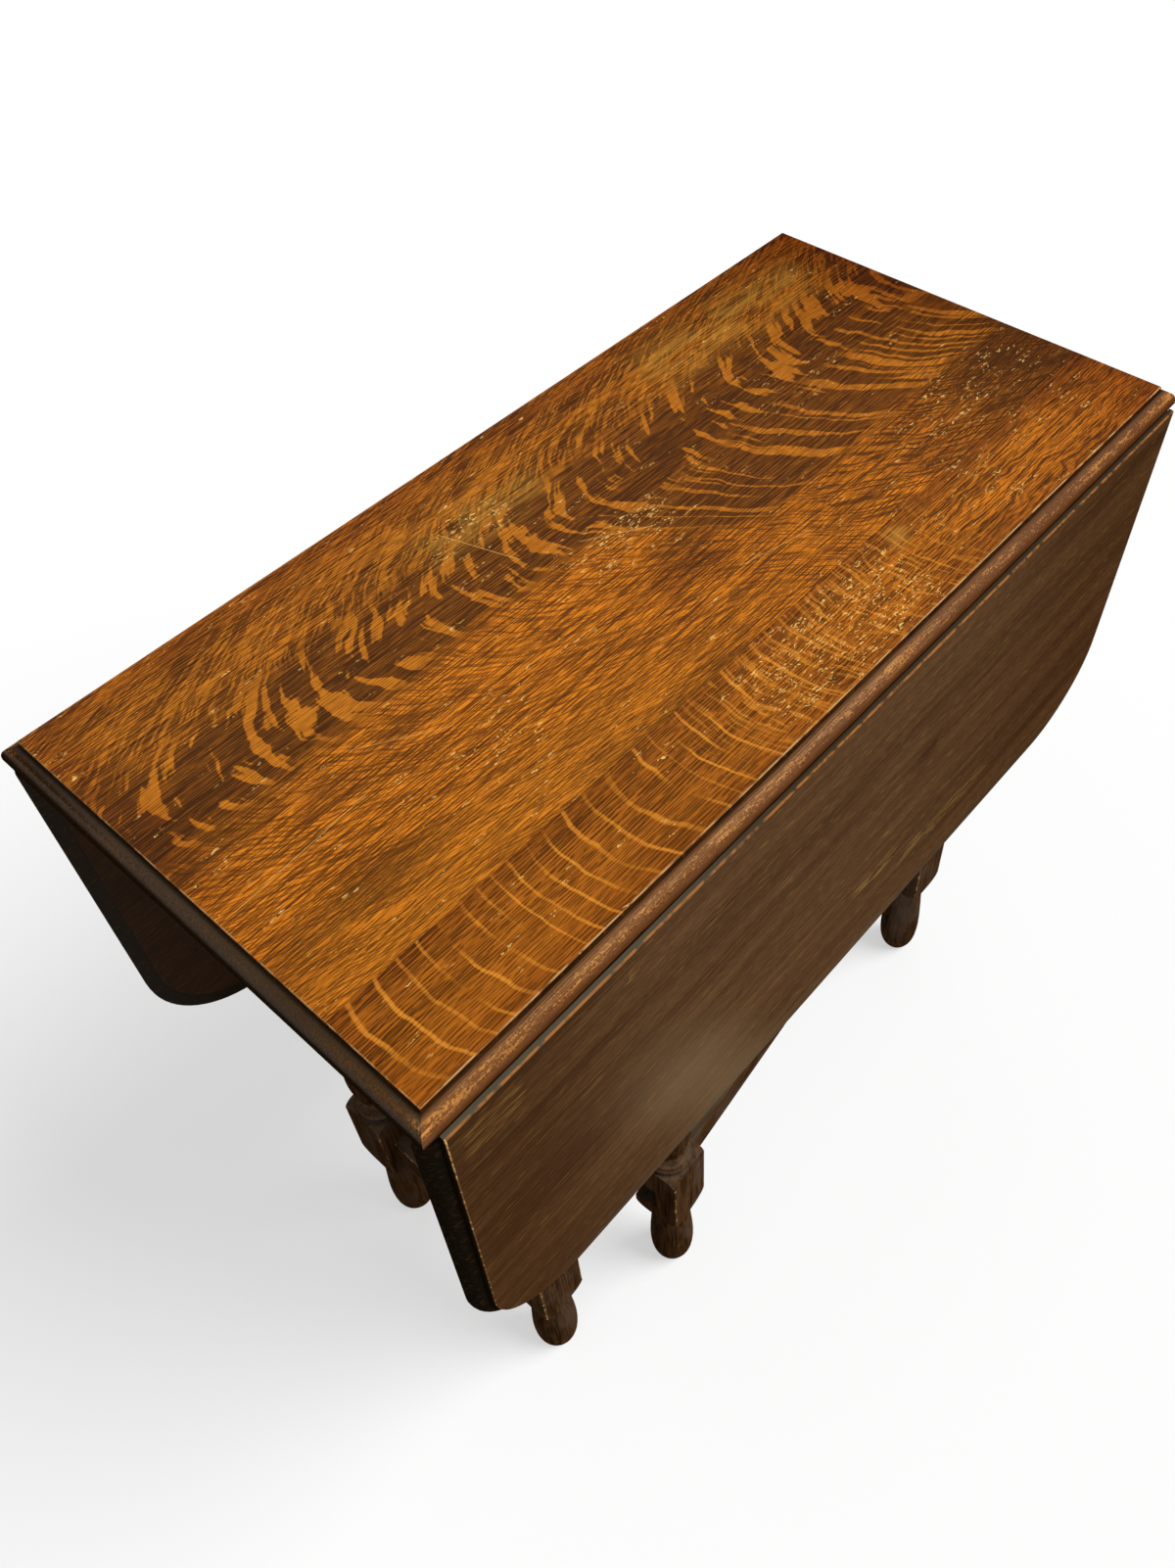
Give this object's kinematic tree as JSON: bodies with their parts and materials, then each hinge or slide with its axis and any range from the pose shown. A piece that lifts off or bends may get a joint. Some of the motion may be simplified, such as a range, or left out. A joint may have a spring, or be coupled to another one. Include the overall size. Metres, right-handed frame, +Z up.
{
  "type": "drop-leaf gate-leg dining table",
  "caption": "Rectangular oak table top with hanging drop leaves on rule joints, turned legs, and swinging gate legs that carry the raised leaves.",
  "frame": {"origin": "on the floor under the middle of the top, at the centre of the table's footprint with both leaves hanging", "axes": "+X along the table, +Z up, -Y towards the front long side, whose gate stands ajar"},
  "size_m": [0.762, 0.383, 0.74],
  "materials": {
    "top_oak": "waxed, worn",
    "leaf_oak": "satin",
    "frame_oak": "satin",
    "plain_oak": "unfinished",
    "pin_wood": "unfinished",
    "hinge_metal": "dull, aged",
    "screw_metal": "dull, aged"
  },
  "bodies": {
    "table": {"apron_front": "frame_oak", "apron_left": "frame_oak", "apron_rear": "frame_oak", "apron_right": "frame_oak", "hinge_pin_front_left": "hinge_metal", "hinge_pin_front_right": "hinge_metal", "hinge_pin_rear_left": "hinge_metal", "hinge_pin_rear_right": "hinge_metal", "hinge_top_flap_front_left": "hinge_metal", "hinge_top_flap_front_right": "hinge_metal", "hinge_top_flap_rear_left": "hinge_metal", "hinge_top_flap_rear_right": "hinge_metal", "hinge_top_screws_front": "screw_metal", "hinge_top_screws_rear": "screw_metal", "leg_front_left": "frame_oak", "leg_front_right": "frame_oak", "leg_rear_left": "frame_oak", "leg_rear_right": "frame_oak", "stretcher_front": "frame_oak", "stretcher_left": "frame_oak", "stretcher_rear": "frame_oak", "stretcher_right": "frame_oak", "top_board_narrow": "top_oak", "top_board_wide": "top_oak", "top_button_screws": "screw_metal", "top_buttons": "plain_oak"},
    "front_leaf": {"hinge_leaf_flap_front_left": "hinge_metal", "hinge_leaf_flap_front_right": "hinge_metal", "hinge_leaf_screws_front": "screw_metal", "leaf_front": "leaf_oak", "leaf_stop_front": "plain_oak"},
    "rear_leaf": {"hinge_leaf_flap_rear_left": "hinge_metal", "hinge_leaf_flap_rear_right": "hinge_metal", "hinge_leaf_screws_rear": "screw_metal", "leaf_rear": "leaf_oak", "leaf_stop_rear": "plain_oak"},
    "front_gate": {"gate_leg_front": "frame_oak", "gate_pin_lower_front": "pin_wood", "gate_pin_upper_front": "pin_wood", "gate_post_front": "frame_oak", "gate_rail_front": "frame_oak", "gate_stretcher_front": "frame_oak"},
    "rear_gate": {"gate_leg_rear": "frame_oak", "gate_pin_lower_rear": "pin_wood", "gate_pin_upper_rear": "pin_wood", "gate_post_rear": "frame_oak", "gate_rail_rear": "frame_oak", "gate_stretcher_rear": "frame_oak"}
  },
  "joints": [
    {"name": "front_leaf_hinge", "type": "hinge", "parent": "table", "child": "front_leaf", "pos_m": [0, -0.177, 0.7255], "axis": [-1, 0, 0], "range_deg": [0, 91.5]},
    {"name": "rear_leaf_hinge", "type": "hinge", "parent": "table", "child": "rear_leaf", "pos_m": [0, 0.177, 0.7255], "axis": [1, 0, 0], "range_deg": [0, 91.5]},
    {"name": "front_gate_pivot", "type": "hinge", "parent": "table", "child": "front_gate", "pos_m": [0.13987, -0.09875, 0.15], "axis": [0, 0, 1], "range_deg": [-6, 2]},
    {"name": "rear_gate_pivot", "type": "hinge", "parent": "table", "child": "rear_gate", "pos_m": [-0.13987, 0.09875, 0.15], "axis": [0, 0, 1], "range_deg": [0, 8]}
  ]
}
